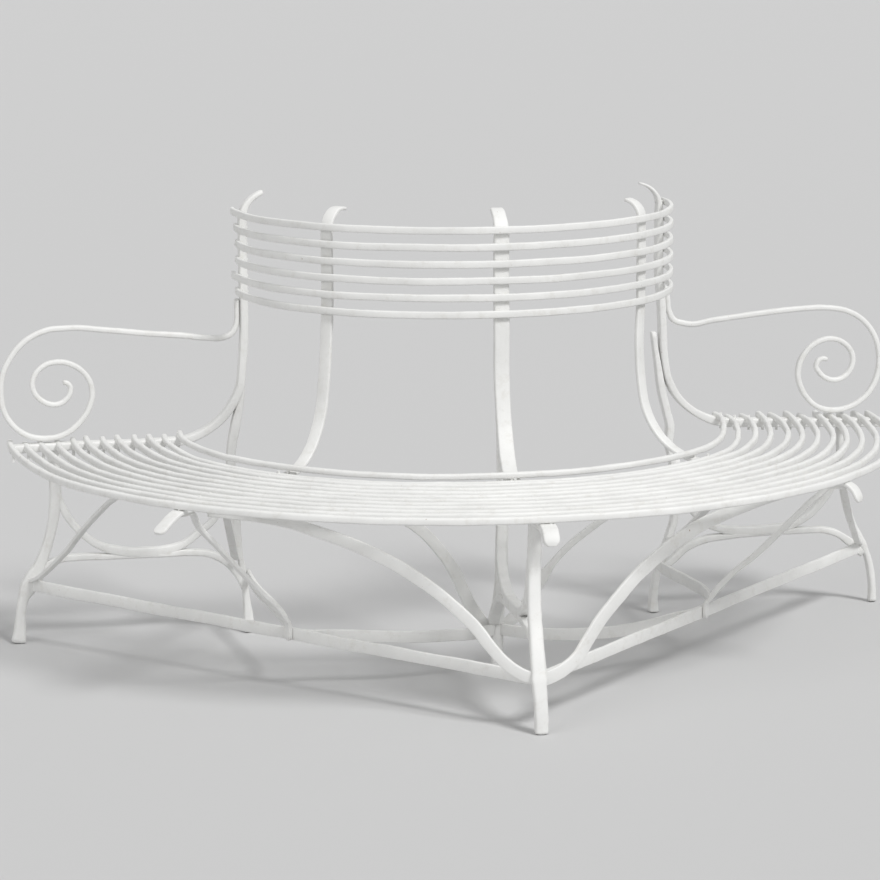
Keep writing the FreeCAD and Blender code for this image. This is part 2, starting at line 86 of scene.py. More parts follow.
# The ends stand higher: by how much, from how many degrees off the centre, and over how many
LEFT_LIFT, LEFT_LIFT_FROM, LEFT_LIFT_OVER = 6.5, 64.0, 24.0
RIGHT_LIFT, RIGHT_LIFT_FROM, RIGHT_LIFT_OVER = 2.0, 66.0, 22.0

# Back
BACK_R = 472.0
RAIL_COUNT = 6
RAIL_THICK = 8.5
RAIL_HEIGHT = 15.5
RAIL_FIRST_Z = 755.5
RAIL_PITCH = 34.75

# Frames below, by the degrees at which they stand
FRAMES = {"left_end": -90.0, "left": -45.0, "centre": 0.0, "right": 45.0, "right_end": 90.0}
REAR_R = 462.0
TIE_END_R = 943.0
TIE_CENTRE_R = 955.0
TIE_CENTRE_SHIFT = -22.0
TIE_END_Z = 128.0
TIE_CENTRE_Z = 106.0

# The tree's axis lies behind the foremost edge of the outer slat by that slat's outer radius.
AXIS_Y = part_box("seat_slat_12")[0][1] / MM + SLAT_OUTER + SLAT_WIDTH / 2


def smooth(share):
    """Eases a share from 0 to 1."""
    share = min(1.0, max(0.0, share))
    return share * share * (3 - 2 * share)


def table(rows):
    """Values that change smoothly along a bar: each row is a place followed by its values."""
    def value(place):
        if place <= rows[0][0]:
            return rows[0][1:]
        for a, b in zip(rows, rows[1:]):
            if place <= b[0]:
                share = smooth((place - a[0]) / (b[0] - a[0]))
                return tuple(p + (q - p) * share for p, q in zip(a[1:], b[1:]))
        return rows[-1][1:]
    return value


def by_x(values):
    """A bar's size by how far out it is."""
    return lambda x, z, s: values(x)


def by_z(values):
    """A bar's size by its height."""
    return lambda x, z, s: values(z)


def by_length(values):
    """A bar's size by the distance along it."""
    return lambda x, z, s: values(s)


def bearer_top(r):
    """Height of the bearers' top, which slopes down outwards."""
    rise = (SLAT_OUTER - SLAT_WIDTH / 2 - r) * math.tan(math.radians(SLOPE_DEG))
    return SEAT_Z - SLAT_HEIGHT - FIT_GAP + rise


def seat_lift(deg):
    """How much higher the seat is at its two ends."""
    return (LEFT_LIFT * smooth((-deg - LEFT_LIFT_FROM) / LEFT_LIFT_OVER)
            + RIGHT_LIFT * smooth((deg - RIGHT_LIFT_FROM) / RIGHT_LIFT_OVER))


def spot_at(r, deg, shift=0.0):
    """Plan place at a radius and an angle from the front, moved sideways by shift."""
    s, c = math.sin(math.radians(deg)), math.cos(math.radians(deg))
    return Vector((r * s + shift * c, -r * c + shift * s))


# Bent bars: lines and tangent arcs through points (x, z) or (x, z, heading in degrees)
STRAIGHT_SPARE = 1e-9
STRAIGHT_TURN = 1e-6
STRAIGHT_BEND = 1e-7
SAMPLE_STEP = 2.0
MOST_TURN = 0.14


def headings(points):
    """The points, and the way that the bar heads at each of them."""
    spots = [Vector(p[:2]) for p in points]
    steps = [b - a for a, b in zip(spots, spots[1:])]
    ways = []
    for i, p in enumerate(points):
        if len(p) > 2:
            ways.append(Vector((math.cos(math.radians(p[2])), math.sin(math.radians(p[2])))))
        elif 0 < i < len(points) - 1:
            a, b = steps[i - 1], steps[i]
            ways.append((a * (b.length / a.length) + b * (a.length / b.length)).normalized())
        else:
            ways.append(None)
    if ways[0] is None:
        chord = steps[0].normalized()
        ways[0] = chord * (2 * ways[1].dot(chord)) - ways[1] if ways[1] else chord
    if ways[-1] is None:
        chord = steps[-1].normalized()
        ways[-1] = chord * (2 * ways[-2].dot(chord)) - ways[-2] if ways[-2] else chord
    return spots, ways


def arc_joints(points):
    """Places and headings at which one arc or line of the bar ends and the next begins."""
    spots, ways = headings(points)
    joints = [(spots[0], ways[0])]
    for i in range(len(spots) - 1):
        a, ta, b, tb = spots[i], ways[i], spots[i + 1], ways[i + 1]
        v = b - a
        spare = 2 * (1 - ta.dot(tb))
        along = v.dot(ta + tb)
        if spare < STRAIGHT_SPARE:
            reach = v.dot(v) / (2 * along)
        else:
            reach = (-along + math.sqrt(along * along + spare * v.dot(v))) / spare
        near, far = a + ta * reach, b - tb * reach
        joints.append(((near + far) / 2, (far - near).normalized()))
        joints.append((b, tb))
    return joints


def line_of(points):
    """Samples (place, heading, distance) along the bar's middle line."""
    joints = arc_joints(points)
    samples = []
    gone = 0.0
    for (a, ta), (b, _) in zip(joints, joints[1:]):
        w = b - a
        n = Vector((-ta.y, ta.x))
        bend = 2 * w.dot(n) / w.dot(w)
        turn = 2 * math.atan2(w.dot(n), w.dot(ta))
        length = w.length if abs(turn) < STRAIGHT_TURN else turn / bend
        count = max(1, round(length / SAMPLE_STEP))
        for k in range(count):
            s = length * k / count
            if abs(bend) < STRAIGHT_BEND:
                place = a + ta * s
            else:
                place = a + ta * (math.sin(bend * s) / bend) + n * ((1 - math.cos(bend * s)) / bend)
            heading = math.atan2(ta.y, ta.x) + bend * s
            samples.append((place, heading, gone + s))
        gone += length
    last = joints[-1]
    samples.append((last[0], math.atan2(last[1].y, last[1].x), gone))
    return samples


def thinned(samples, step, near_ends):
    """Drops samples that lie close together, but not near the ends or in tight bends."""
    total = samples[-1][2]
    kept = [samples[0]]
    for sample in samples[1:-1]:
        gap = sample[2] - kept[-1][2]
        turn = abs(sample[1] - kept[-1][1])
        at_end = sample[2] < near_ends or total - sample[2] < near_ends
        if gap >= step or turn > MOST_TURN or (at_end and gap >= SAMPLE_STEP):
            kept.append(sample)
    kept.append(samples[-1])
    return kept


# Hand-made unevenness: how much of a size, or how many radians, and over how many millimetres it changes
BAR_THICK, BAR_THICK_PACE = 0.06, 55.0
BAR_WIDE, BAR_WIDE_PACE = 0.045, 70.0
BAR_TWIST, BAR_TWIST_PACE = 0.03, 110.0
BAR_SIDE_PACE, BAR_RIPPLE_PACE, BAR_LIFT_PACE = 150.0, 50.0, 130.0
BAR_DENT_PACE = 13.0
HOOP_THICK, HOOP_THICK_PACE = 0.07, 45.0
HOOP_HIGH, HOOP_HIGH_PACE = 0.04, 60.0
HOOP_LEAN, HOOP_LEAN_PACE = 0.06, 90.0
HOOP_OUT_PACE, HOOP_OUT_RIPPLE_PACE = 110.0, 40.0
HOOP_LIFT_PACE, HOOP_LIFT_RIPPLE_PACE = 130.0, 50.0
HOOP_DENT_PACE, HOOP_DENT_ACROSS = 14.0, 9.0
CORNER_POINTS = 4
# Shares of the full thickness and width that are left at a long, rounded end and at a short, cut one
ROUND_END_THICK, CUT_END_THICK, END_WIDE = 0.72, 0.8, 0.3
LONG_END = 3.0
HOOP_END_THICK, HOOP_END_HIGH = 0.62, 0.75
seeds = {"next": 1.0}


def next_seed():
    seeds["next"] += 1.0
    return seeds["next"]


def drift(s, seed, pace):
    """Slow unevenness along a bar, between about -1 and 1."""
    return noise.noise(Vector((s / pace, seed * 7.31, seed * 1.7)))


def end_ease(distance, reach):
    """Share of the full size near an end, for an end that is rounded over reach."""
    if distance >= reach:
        return 1.0
    left = 1 - distance / reach
    return math.sqrt(max(0.0, 1 - left * left))


def section(thick, wide, corner):
    """Rounded rectangle, as (across the thickness, across the width)."""
    points = []
    for sx, sy, start in ((1, 1, 0), (-1, 1, 90), (-1, -1, 180), (1, -1, 270)):
        for k in range(CORNER_POINTS):
            a = math.radians(start + 90 * k / (CORNER_POINTS - 1))
            points.append((sx * (thick / 2 - corner) + corner * math.cos(a),
                           sy * (wide / 2 - corner) + corner * math.sin(a)))
    return points


def skin(name, rings):
    """A mesh from rings of points in millimetres."""
    mesh = bpy.data.meshes.new(name)
    bm = bmesh.new()
    rows = [[bm.verts.new((x * MM, (y + AXIS_Y) * MM, z * MM)) for x, y, z in ring] for ring in rings]
    n = len(rows[0])
    for a, b in zip(rows, rows[1:]):
        for i in range(n):
            bm.faces.new((a[i], a[(i + 1) % n], b[(i + 1) % n], b[i]))
    bm.faces.new(rows[0][::-1])
    bm.faces.new(rows[-1])
    bmesh.ops.recalc_face_normals(bm, faces=bm.faces)
    for face in bm.faces:
        face.smooth = len(face.verts) == 4
    bm.to_mesh(mesh)
    bm.free()
    piece = bpy.data.objects.new(name, mesh)
    bpy.context.scene.collection.objects.link(piece)
    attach(piece, "root")
    return piece


def forged_bar(name, node, points, size, place, corner=2.0, shift=None, rough=0.45, wander=0.9, step=9.0,
               blunt=(2.0, 2.0)):
    """A hand-forged bar along points; size is (thick, wide) or a function of (x, z, s); place turns
    (x, y, z) of its own plane to the bench's; blunt rounds the two ends over these lengths."""
    seed = next_seed()
    samples = thinned(line_of(points), step, max(blunt) + 1)
    total = samples[-1][2]
    rings = []
    for spot, heading, s in samples:
        thick, wide = size(spot.x, spot.y, s) if callable(size) else size
        from_end, reach = (s, blunt[0]) if s < total / 2 else (total - s, blunt[1])
        ease = end_ease(from_end + 0.12 * reach, reach)
        flat = max(ease, ROUND_END_THICK if reach > LONG_END else CUT_END_THICK)
        t = thick * flat * (1 + BAR_THICK * drift(s, seed, BAR_THICK_PACE))
        w = wide * max(ease, END_WIDE) * (1 + BAR_WIDE * drift(s, seed + 0.5, BAR_WIDE_PACE))
        side = (wander * drift(s, seed + 0.2, BAR_SIDE_PACE)
                + 0.4 * wander * drift(s, seed + 0.7, BAR_RIPPLE_PACE))
        lift = wander * drift(s, seed + 0.8, BAR_LIFT_PACE)
        twist = BAR_TWIST * drift(s, seed + 0.4, BAR_TWIST_PACE)
        y0 = (shift(spot.x, spot.y) if shift else 0.0) + side
        nx, nz = -math.sin(heading), math.cos(heading)
        ring = []
        for a, b in section(t, w, min(corner, t / 2 - 0.3, w / 2 - 0.3)):
            a2 = a * math.cos(twist) - b * math.sin(twist) * 0.3
            b2 = b * math.cos(twist) + a * math.sin(twist) * 0.3
            p = Vector((spot.x + nx * (a2 + lift), y0 + b2, spot.y + nz * (a2 + lift)))
            dent = rough * noise.noise(Vector((p.x / BAR_DENT_PACE, p.y / BAR_DENT_PACE + seed * 3.0,
                                               p.z / BAR_DENT_PACE)))
            p += Vector((nx * a, b, nz * a)).normalized() * dent
            ring.append(place(p))
        rings.append(ring)
    piece = skin(name, rings)
    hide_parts(node)
    return piece


def in_frame(deg):
    """Turns a bar's own plane into the upright plane at an angle from the front."""
    turn = math.radians(deg - 90)
    c, s = math.cos(turn), math.sin(turn)
    return lambda p: (p.x * c - p.y * s, p.x * s + p.y * c, p.z)


def from_to(start, end):
    """Turns a bar's own plane into the upright plane from one plan place to another."""
    run = (end - start).normalized()
    return lambda p: (start.x + p.x * run.x - p.y * run.y, start.y + p.x * run.y + p.y * run.x, p.z)


# Bars bent to half circles
HOOP_STEP = 12.0
HOOP_TIP_STEPS = (1.2, 3.0, 6.0)
HOOP_TIP_ROUND = 5.0
FLARE_FROM, FLARE_OVER = 82.0, 12.0
PULL_FROM, PULL_OVER = 48.0, 26.0
PULL_BACK_FROM, PULL_BACK_OVER, PULL_BACK = 78.0, 14.0, 0.75


def hoop(name, node, radius, z, thick, high, overhangs, corner, rough, wave, top_round=0.0,
         flare=(0.0, 0.0), pull=0.0, lift_at=None):
    """A bar bent to a half circle; radius and z are its middle, thick runs outwards, overhangs are the
    degrees that its left and right ends run on, top_round lowers the edges of its top, flare moves the
    ends outwards, and pull moves the right side in, most at about 76 degrees."""
    seed = next_seed()
    first, last = -90.0 - overhangs[0], 90.0 + overhangs[1]
    count = round(math.radians(last - first) * radius / HOOP_STEP)
    degs = [first + (last - first) * k / count for k in range(count + 1)]
    tip = math.degrees(1.0 / radius)
    degs[1:1] = [first + tip * d for d in HOOP_TIP_STEPS]
    degs[-1:-1] = [last - tip * d for d in reversed(HOOP_TIP_STEPS)]
    rings = []
    for deg in degs:
        s = math.radians(deg) * radius
        from_end = math.radians(min(deg - first, last - deg)) * radius
        r = (radius + wave * drift(s, seed, HOOP_OUT_PACE)
             + 0.5 * wave * drift(s, seed + 3, HOOP_OUT_RIPPLE_PACE))
        r += (flare[0] * smooth((-deg - FLARE_FROM) / FLARE_OVER)
              + flare[1] * smooth((deg - FLARE_FROM) / FLARE_OVER))
        r -= (pull * smooth((deg - PULL_FROM) / PULL_OVER)
              * (1 - PULL_BACK * smooth((deg - PULL_BACK_FROM) / PULL_BACK_OVER)))
        lift = (wave * drift(s, seed + 0.6, HOOP_LIFT_PACE)
                + 0.4 * wave * drift(s, seed + 5, HOOP_LIFT_RIPPLE_PACE))
        lift += lift_at(deg) if lift_at else 0.0
        lean = HOOP_LEAN * drift(s, seed + 0.3, HOOP_LEAN_PACE)
        ease = max(HOOP_END_THICK, end_ease(from_end + 0.8, HOOP_TIP_ROUND))
        t = thick * ease * (1 + HOOP_THICK * drift(s, seed + 1.5, HOOP_THICK_PACE))
        h = high * max(HOOP_END_HIGH, ease) * (1 + HOOP_HIGH * drift(s, seed + 2.5, HOOP_HIGH_PACE))
        turn = math.radians(deg)
        ring = []
        for a, b in section(t, h, min(corner, t / 2 - 0.3)):
            if top_round and b > 0:
                b -= top_round * (a / (t / 2)) ** 2
            r2 = r + a * math.cos(lean) - b * math.sin(lean)
            z2 = z + lift + b * math.cos(lean) + a * math.sin(lean)
            dent = rough * noise.noise(Vector((s / HOOP_DENT_PACE, a / HOOP_DENT_ACROSS + seed,
                                               b / HOOP_DENT_ACROSS)))
            size = math.hypot(a, b)
            r2 += dent * a / size
            z2 += dent * b / size
            ring.append((r2 * math.sin(turn), -r2 * math.cos(turn), z2))
        rings.append(ring)
    piece = skin(name, rings)
    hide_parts(node)
    return piece


# Seat slats: how far outwards and up each one's left and right tips are bent, and its right side drawn in
LEFT_TIPS = ((-5.5, 0.0), (-4.0, 0.0), (-3.5, -1.5), (-5.5, -1.5), (2.0, 0.5), (1.0, -0.5), (3.5, 2.0),
             (-1.0, 2.0), (1.5, 0.0), (5.0, 0.0), (5.5, -1.0), (6.0, 5.0))
RIGHT_TIPS = ((-3.5, -3.5), (-7.0, 1.5), (-5.0, -1.5), (0.0, 4.0), (-3.5, 0.0), (1.5, 3.0), (0.0, -2.5),
              (7.5, 2.0), (0.0, 1.0), (0.0, 1.0), (3.5, 0.0), (1.5, 1.5))
RIGHT_PULLS = (16.0, 17.0, 12.0, 11.5, 6.0, 7.5, 6.0, 5.0, 8.5, 8.7, 8.5, 8.0)
TIP_UP_FROM, TIP_UP_OVER = 84.0, 8.0
LEFT_PAST, RIGHT_PAST, PAST_UNEVEN = 2.4, 2.8, 0.35
# The first slat is cut away below and the second one above, which leaves a line of shadow between them.
FIRST_HEIGHT = 13.0
FIRST_LIFT = 0.3
SECOND_HEIGHT = 11.0


def seat_z(index):
    """Height of the middle of a slat of the model."""
    low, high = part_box("seat_slat_%02d" % (index + 1))
    return (low[2] + high[2]) / 2 / MM


def make_slat(index):
    uneven = PAST_UNEVEN * math.sin(2.3 * index + 0.7)
    left, right = LEFT_TIPS[index], RIGHT_TIPS[index]
    left_share = 1.0 if index else FIRST_LIFT
    high, rise = SLAT_HEIGHT, 0.0
    if index == 0:
        high, rise = FIRST_HEIGHT, (SLAT_HEIGHT - FIRST_HEIGHT) / 2
    elif index == 1:
        high, rise = SECOND_HEIGHT, (SECOND_HEIGHT - SLAT_HEIGHT) / 2

    def lift_at(deg):
        lift = seat_lift(deg) * (left_share if deg < 0 else 1.0)
        lift += left[1] * smooth((-deg - TIP_UP_FROM) / TIP_UP_OVER)
        return lift + right[1] * smooth((deg - TIP_UP_FROM) / TIP_UP_OVER)

    hoop("slat_%02d" % (index + 1), "seat_slat_%02d" % (index + 1), SLAT_INNER + SLAT_PITCH * index,
         seat_z(index) + rise, SLAT_WIDTH, high, (LEFT_PAST + uneven, RIGHT_PAST - 0.8 * uneven),
         corner=3.4, rough=0.6, wave=1.3, top_round=1.6, flare=(left[0], right[0]),
         pull=RIGHT_PULLS[index], lift_at=lift_at)


# Back rails: how many degrees each one runs past the left post, and how far outwards that end is bent
RAIL_LEFT_ENDS = ((3.6, -2.0), (4.6, 5.0), (3.1, -3.5), (3.2, -3.0), (3.8, 0.0), (4.8, 6.0))
RAIL_RIGHT_END = (4.5, 2.5)


def make_rail(index):
    past, flare = RAIL_LEFT_ENDS[index]
    hoop("rail_%d" % (index + 1), "back_rail_%d" % (index + 1), BACK_R + FIT_GAP + RAIL_THICK / 2,
         RAIL_FIRST_Z + RAIL_PITCH * index, RAIL_THICK, RAIL_HEIGHT, (past, RAIL_RIGHT_END[0]), corner=2.8,
         rough=0.45, wave=1.0, flare=(flare, RAIL_RIGHT_END[1]))


# Posts with their seat bearers, as (radius, height) from the curled top down and out under the seat
END_R = SLAT_OUTER + SLAT_WIDTH / 2 + 3.0
HEAVY = END_POST[0] / 2
LIGHT = MID_POST[0] / 2
RUN_FROM = 645
RUN_TO = END_R - 14
LEFT_BEARER_Z = 431.0
RIGHT_RISE = RIGHT_LIFT + 6.0


def bearer_run(half, lift=0.0):
    """The straight run under the slats."""
    return [(RUN_FROM, bearer_top(RUN_FROM) - half + lift, -SLOPE_DEG),
            (RUN_TO, bearer_top(RUN_TO) - half + lift, -SLOPE_DEG)]


POSTS = {
    "left_end":
        [(418, 972), (440, 960), (456, 943), (463.5, 915, -90), (463.5, 690, -90), (469, 590), (474, 548),
         (489, 514), (514, 481), (548, 455), (592, 436), (RUN_FROM, LEFT_BEARER_Z + 1.5),
         (790, LEFT_BEARER_Z, 0), (900, LEFT_BEARER_Z - 0.5), (END_R, LEFT_BEARER_Z - 3)],
    "left":
        [(410, 961), (436, 963), (453, 953), (464, 937), (468, 912, -90), (468, 790, -90), (476, 668),
         (484, 603), (493, 552), (510, 508), (537, 469), (579, 439), (611, 428.5)]
        + bearer_run(LIGHT) + [(END_R, 411), (1000, 402), (1020, 391.5), (1039, 381)],
    "centre":
        [(413, 965), (439, 957), (456, 941), (463.5, 917, -90), (463.5, 655, -90), (478, 560), (494, 510),
         (521, 476), (558, 449), (603, 429)]
        + bearer_run(HEAVY) + [(END_R, 407), (992, 402), (1001, 392), (1006, 379)],
    "right":
        [(430, 967), (452, 960), (466, 943), (468, 916, -90), (468, 740, -90), (470.5, 640), (475, 587),
         (486, 537), (505, 499), (535, 464), (573, 440), (611, 428.5)]
        + bearer_run(LIGHT) + [(END_R, 410), (987, 403), (994, 392), (998, 378)],
    "right_end":
        [(418, 971), (440, 963), (456, 947), (464, 920, -90), (464, 790, -90), (470, 710), (474, 640),
         (478, 580), (489, 529), (512, 488), (545, 458), (585, 437)]
        + bearer_run(HEAVY, RIGHT_RISE) + [(END_R, bearer_top(END_R) - HEAVY + RIGHT_RISE, -SLOPE_DEG)]}
HEAVY_SIZE = table([(0, 9.5, 27.0), (28, 11.5, 29.0), (75, END_POST[0], END_POST[1])])
LIGHT_SIZE = table([(0, 7.0, 25.0), (50, MID_POST[0], MID_POST[1])])
POINTED_SIZE = table([(0, 5.0, 22.0), (40, 8.0, 27.0), (90, 15.5, 30.0), (520, 15.5, 31.0),
                      (640, 19.0, 33.0)])
POST_SIZES = {"left_end": HEAVY_SIZE, "left": LIGHT_SIZE, "centre": HEAVY_SIZE, "right": LIGHT_SIZE,
              "right_end": POINTED_SIZE}
CENTRE_POST_SHIFT = table([(480, 10.0), (600, 3.5), (1000, -6.6)])
POST_SHIFTS = {
    "centre": lambda x, z: CENTRE_POST_SHIFT(x)[0],
    "right": lambda x, z: 8 * smooth((z - 640) / 120) + 8 * smooth((z - 470) / 120)}


def make_post(name):
    light = name in ("left", "right")
    forged_bar("upright_" + name, "post_" + name, POSTS[name], by_length(POST_SIZES[name]),
               in_frame(FRAMES[name]), corner=2.4 if light else 3.6, shift=POST_SHIFTS.get(name), rough=0.6,
               blunt=(5.0, 2.0 if "end" in name else 13.0))


# Legs, as (radius, height) from the top down
FRONT_LEGS = {
    "left_end": [(881, LEFT_BEARER_Z - HEAVY + 2, -90), (880, 335, -90), (886, 270), (896, 229), (908, 194),
                 (926, 153), (945, 121), (955, 98), (961, 66), (964, 34), (968, 0)],
    "centre": [(884, bearer_top(874) - 2 * HEAVY + 1, -90), (884, 340, -90), (893, 268), (912, 196),
               (936, 149), (954, 111), (965, 72), (969, 34, -90), (969, 0, -90)],
    "right_end": [(890, bearer_top(882) - 2 * HEAVY + RIGHT_RISE + 1, -90), (893, 345, -90), (901, 268),
                  (908, 230), (921, 190), (944, 143), (961, 104), (970, 64), (973.5, 30, -90),
                  (973.5, 0, -90)]}
FRONT_LEG_SIZES = {
    "left_end": table([(0, 31, 27), (26, 26, 26), (60, 21, 25), (98, 22, 25), (122, 35, 28), (146, 37, 28),
                       (175, 24, 26), (230, 21, 25), (300, 23, 25), (400, 27, 27)]),
    "centre": table([(0, 19, 26.5), (60, 19, 28), (98, 20, 29), (106, 23, 33), (114, 20, 29), (200, 19, 28),
                     (320, 19, 26.5), (400, 19, 25.5)]),
    "right_end": table([(0, 19, 23), (24, 16, 22), (110, 15, 22), (135, 18, 24), (165, 16, 22),
                        (240, 15, 22), (400, 17, 24)])}
REAR_LEGS = {
    "left_end": [(462, 622), (466, 590), (474, 522), (485, 467), (495.5, 409), (497, 345), (490, 262),
                 (485, 216), (480, 174), (473, 138), (469, 97), (465, 60), (463, 32), (462, 0)],
    "centre": [(461, 622), (466, 582), (480, 510), (498, 390), (507, 262), (499, 207), (484, 160),
               (470, 115), (464, 62), (462, 30, -90), (462, 0, -90)],
    "right_end": [(453, 640), (457, 606), (464, 562), (473, 506), (485, 458), (493, 424), (491.5, 402),
                  (490, 386), (494.5, 366), (500, 340), (504, 300), (506, 255), (504, 208), (492, 170),
                  (477, 128), (465, 92), (459, 52), (457, 24, -90), (457, 0, -90)]}
REAR_LEG_SIZES = {
    "left_end": table([(0, 23, 29), (30, 20, 28), (80, 14, 26), (138, 13, 26), (174, 12, 25), (216, 16, 26),
                       (262, 23, 27), (300, 23, 27), (409, 18, 26), (467, 20, 26), (515, 16, 25),
                       (600, 9, 22)]),
    "centre": table([(0, 18, 27), (40, 15, 25), (330, 15, 26), (520, 14, 25), (625, 9, 22)]),
    "right_end": table([(0, 21, 29), (30, 17, 27), (80, 15, 26), (330, 15, 26), (410, 17, 27),
                        (500, 17, 26), (625, 11, 22)])}
CENTRE_LEG_SHIFT = table([(5, -18.2), (110, -20.5), (200, -17.6), (390, -13.4)])
CENTRE_REAR_SHIFT = table([(60, 0.0), (262, 0.7), (430, 7.0), (600, 10.0)])


def make_front_leg(name):
    shift = (lambda x, z: CENTRE_LEG_SHIFT(z)[0]) if name == "centre" else None
    forged_bar("leg_" + name, "front_leg_" + name, FRONT_LEGS[name], by_z(FRONT_LEG_SIZES[name]),
               in_frame(FRAMES[name]), corner=6.0, shift=shift, rough=0.9, blunt=(2.0, 4.0))


def make_rear_leg(name):
    shift = (lambda x, z: CENTRE_REAR_SHIFT(z)[0]) if name == "centre" else None
    forged_bar("back_leg_" + name, "rear_leg_" + name, REAR_LEGS[name], by_z(REAR_LEG_SIZES[name]),
               in_frame(FRAMES[name]), corner=3.5, shift=shift, rough=0.7, blunt=(4.0, 4.0))


# Braces between front and rear legs: back to back, and welded into one thick run in the middle
U_BRACES = {
    "left_end": [(880, 348), (867, 301), (852, 271), (831, 244), (790, 210), (738, 193), (684, 190, 180),
                 (645, 191), (606, 203), (565, 232), (538, 255), (519, 305), (504, 372)],
    "centre": [(881, 348), (867, 303), (848, 260), (820, 226), (776, 201), (735, 191, 180), (660, 191, 180),
               (607, 203), (566, 231), (540, 261), (519, 315), (505, 378)],
    "right_end": [(893, 335), (884, 300), (869, 265), (846, 233), (814, 204), (767, 184), (712, 178),
                  (657, 178), (615, 184), (579, 199), (546, 231), (524, 285), (507, 350)]}
ARCH_BRACES = {
    "left_end": [(938, 146), (912, 163), (895, 174), (868, 183), (834, 185), (746, 183), (643, 183.5),
                 (590, 185), (549, 180), (523, 169), (498, 148), (480, 123), (469, 98)],
    "centre": [(955, 100), (941, 126), (914, 159), (872, 178.5), (820, 183, 180), (600, 183, 180),
               (548, 175), (512, 150), (472, 106)],
    "right_end": [(949, 112), (934, 127), (915, 143), (889, 161), (857, 171.5), (815, 173.5), (762, 172),
                  (709, 170), (636, 167), (575, 161), (534, 146), (503, 120), (468, 96)]}
U_SIZE = table([(480, BRACE[0], BRACE[1]), (600, 15.0, BRACE[1]), (645, MERGED, BRACE[1]),
                (745, MERGED, BRACE[1]), (800, 15.0, BRACE[1]), (900, 16.5, BRACE[1])])
ARCH_SIZE = table([(460, 17.0, 23.0), (590, BRACE[0], BRACE[1]), (650, 12.0, BRACE[1]),
                   (745, 12.0, BRACE[1]), (800, 14.5, BRACE[1]), (895, 15.0, BRACE[1]), (915, 19.0, 25.0),
                   (950, 17.0, 23.0)])


def centre_brace_shift(x, z):
    """The centre braces lean from the rear leg to the front leg, which stand off the middle."""
    rise = 8 * smooth((z - 225) / 110) if x < 640 else 0.0
    return rise - 9.5 - 6 * smooth((x - 760) / 140)


def make_braces(name):
    place = in_frame(FRAMES[name])
    shift = centre_brace_shift if name == "centre" else None
    forged_bar("hanging_brace_" + name, "u_brace_" + name, U_BRACES[name], by_x(U_SIZE), place, corner=3.6,
               shift=shift, rough=0.7)
    forged_bar("standing_brace_" + name, "arch_brace_" + name, ARCH_BRACES[name], by_x(ARCH_SIZE), place,
               corner=3.6, shift=shift, rough=0.7)


# Front ties from the end legs to the centre leg; a side is -1 for the left and 1 for the right
HANDS = {-1: "left", 1: "right"}


def tie_ends(side):
    return spot_at(TIE_END_R, side * 90), spot_at(TIE_CENTRE_R, 0, TIE_CENTRE_SHIFT)


def tie_spot(side, share, outward):
    """Plan place at a share of a tie's length, moved outwards from its middle line."""
    start, end = tie_ends(side)
    run = end - start
    face = Vector((run.y, -run.x)).normalized() * (outward * -side)
    return start + run * share + face


def tie_height(share):
    return TIE_END_Z + (TIE_CENTRE_Z - TIE_END_Z) * share


def make_front_tie(side):
    start, end = tie_ends(side)
    forged_bar("tie_" + HANDS[side], "front_stretcher_" + HANDS[side],
               [(0, TIE_END_Z), ((end - start).length, TIE_CENTRE_Z)], (EDGE_HEIGHT, STRAP),
               from_to(start, end), wander=1.6)


# Arches that rise to the 45 degree bearers, as (distance, height), from the ends of the ties
FRONT_ARCH_R = 880.0
FRONT_ARCH_HEIGHTS = {-1: 24.0, 1: 28.0}
FRONT_ARCHES = {
    -1: [(0, 108, 0), (22, 110), (46, 120), (70, 137), (97, 165), (128, 201), (165, 234), (199, 261),
         (240, 287), (290, 315), (340, 336), (400, 357), (446, 370), (490, 382), (540, 391), (600, 397)],
    1: [(0, 104, 0), (26, 105), (62, 114), (97, 132), (126, 163), (158, 198), (205, 238), (249, 272),
        (308, 306), (359, 331), (427, 356), (488, 371), (538, 380)]}
END_ARCH_R = 890.0
END_ARCH = [(0, 136), (40, 150), (84, 175), (130, 206), (175, 237), (204, 262), (238, 290), (288, 326),
            (353, 368), (400, 390), (450, 401)]


def make_front_arch(side):
    start = tie_ends(side)[1]
    end = spot_at(FRONT_ARCH_R, side * 45)
    top = bearer_top(FRONT_ARCH_R) - STRAP - ARCH_HEIGHT / 2 + SINK
    forged_bar("arch_" + HANDS[side], "front_arch_" + HANDS[side],
               FRONT_ARCHES[side] + [((end - start).length, top, 0)], (FRONT_ARCH_HEIGHTS[side], STRAP),
               from_to(start, end), wander=1.5)


def make_end_arch(side):
    start = tie_ends(side)[0]
    end = spot_at(END_ARCH_R, side * 45)
    reach = (end - start).length
    top = bearer_top(END_ARCH_R) - STRAP * 1.5 + SINK
    forged_bar("side_arch_" + HANDS[side], "end_arch_" + HANDS[side],
               END_ARCH + [(reach - 60, top, 0), (reach + 10, top, 0)], SLENDER, from_to(start, end),
               wander=1.5)


# Struts from the ties out to the 45 degree bearers
STRUT_SHARES = {-1: 0.543, 1: 0.53}
STRUT_TOP_R = SLAT_OUTER - SLAT_PITCH
STRUT_LINES = {
    -1: [(20, 162), (75, 217), (130, 271), (185, 326), (226, 367)],
    1: [(12, 150), (60, 206), (106, 246), (150, 290), (196, 339), (236, 379)]}
STRUT_SIZES = {
    -1: table([(0, 9.0, 17.0), (40, 9.0, 14.0), (200, 9.0, 15.0), (280, 9.0, 17.0)]),
    1: table([(0, 9.0, 17.0), (40, 11.5, 14.0), (120, 13.5, 14.0), (280, 11.5, 17.0)])}


